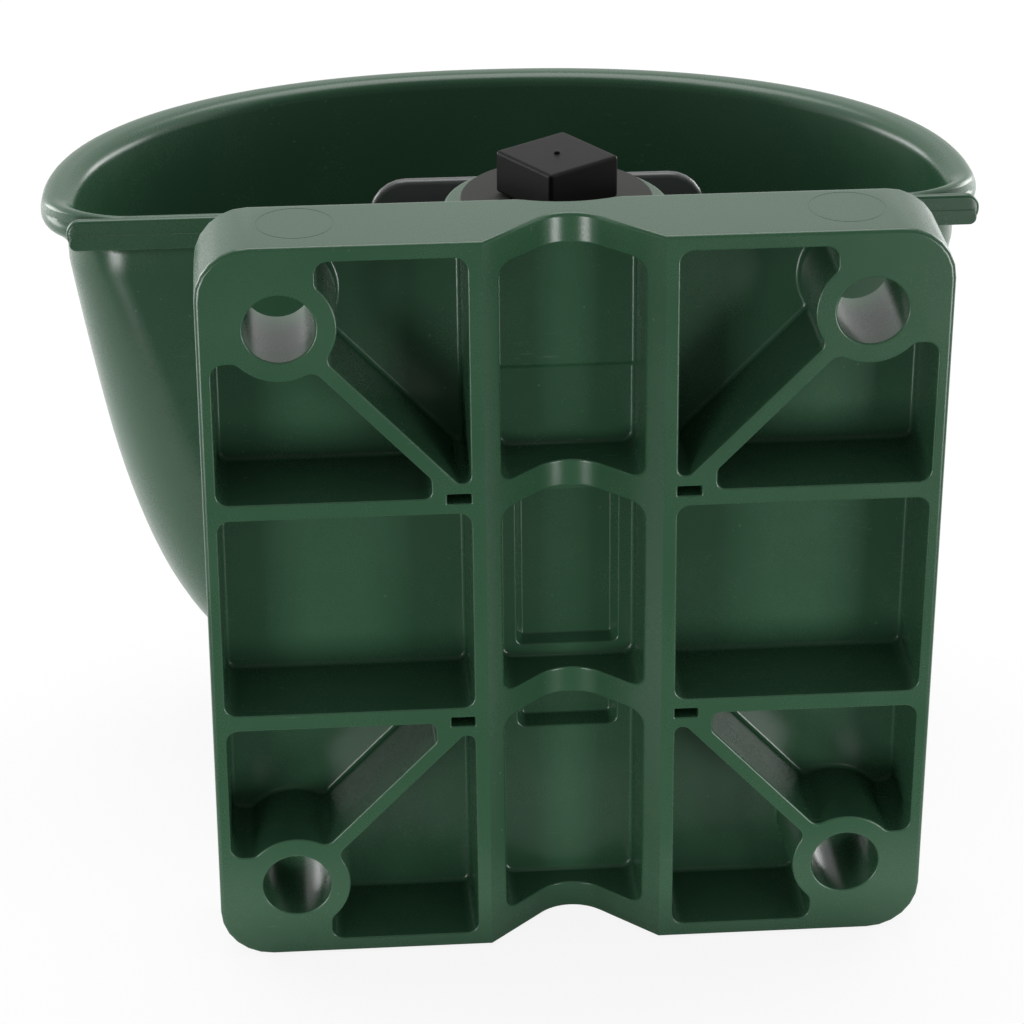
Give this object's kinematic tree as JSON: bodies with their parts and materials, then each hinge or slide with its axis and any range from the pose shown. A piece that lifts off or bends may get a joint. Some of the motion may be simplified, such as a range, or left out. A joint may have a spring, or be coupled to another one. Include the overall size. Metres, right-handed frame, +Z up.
{
  "type": "wall drinking bowl",
  "caption": "Wall-hung stable drinking bowl: ribbed wall plate, D-shaped basin, water tube with plug, and a nose tongue that opens a sprung valve.",
  "frame": {"origin": "middle of the wall plate's rear face, on the wall", "axes": "+Z up, +Y into the wall, the basin reaches out towards -Y"},
  "size_m": [0.229, 0.187, 0.18],
  "materials": {
    "moulded_green": "semi-gloss dark green moulding",
    "moulded_black": "satin black moulding",
    "washer_grey": "grey sealing ring",
    "black_rubber": "matt black rubber",
    "brass": "turned brass",
    "stainless": "plain stainless steel"
  },
  "bodies": {
    "housing": {"back_plate": "moulded_green", "bowl": "moulded_green", "plug": "moulded_black", "plug_washer": "washer_grey", "valve_body": "brass", "valve_gasket": "black_rubber", "valve_seat": "brass", "spring_cap": "stainless", "return_spring": "stainless", "inlet_strainer": "stainless", "flow_screw_seal": "black_rubber", "hinge_bracket": "stainless", "bracket_screw_left": "stainless", "bracket_screw_right": "stainless", "hinge_pin": "stainless", "pin_clip_left": "stainless", "pin_clip_right": "stainless"},
    "tongue": {"tongue": "moulded_black"},
    "stem": {"valve_stem": "stainless", "seal_disc": "black_rubber", "disc_retainer": "stainless"},
    "flow_screw": {"flow_screw": "stainless"}
  },
  "joints": [
    {"name": "tongue_hinge", "type": "hinge", "parent": "housing", "child": "tongue", "pos_m": [0, -0.0965, 0.044], "axis": [1, 0, 0], "range_deg": [0, 12], "stiffness_Nm_per_rad": 0.25, "springref_deg": -9.17},
    {"name": "stem_slide", "type": "slide", "parent": "housing", "child": "stem", "axis": [0, 1, 0], "range_m": [0, 0.003], "deforming": ["return_spring"]},
    {"name": "flow_screw_turn", "type": "hinge", "parent": "housing", "child": "flow_screw", "pos_m": [0, -0.09, 0.01], "axis": [0, 1, 0], "range_deg": [0, 180]}
  ],
  "couplings": [
    {"joint": "stem_slide", "follows": "tongue_hinge", "m_per_rad": 0.014}
  ]
}
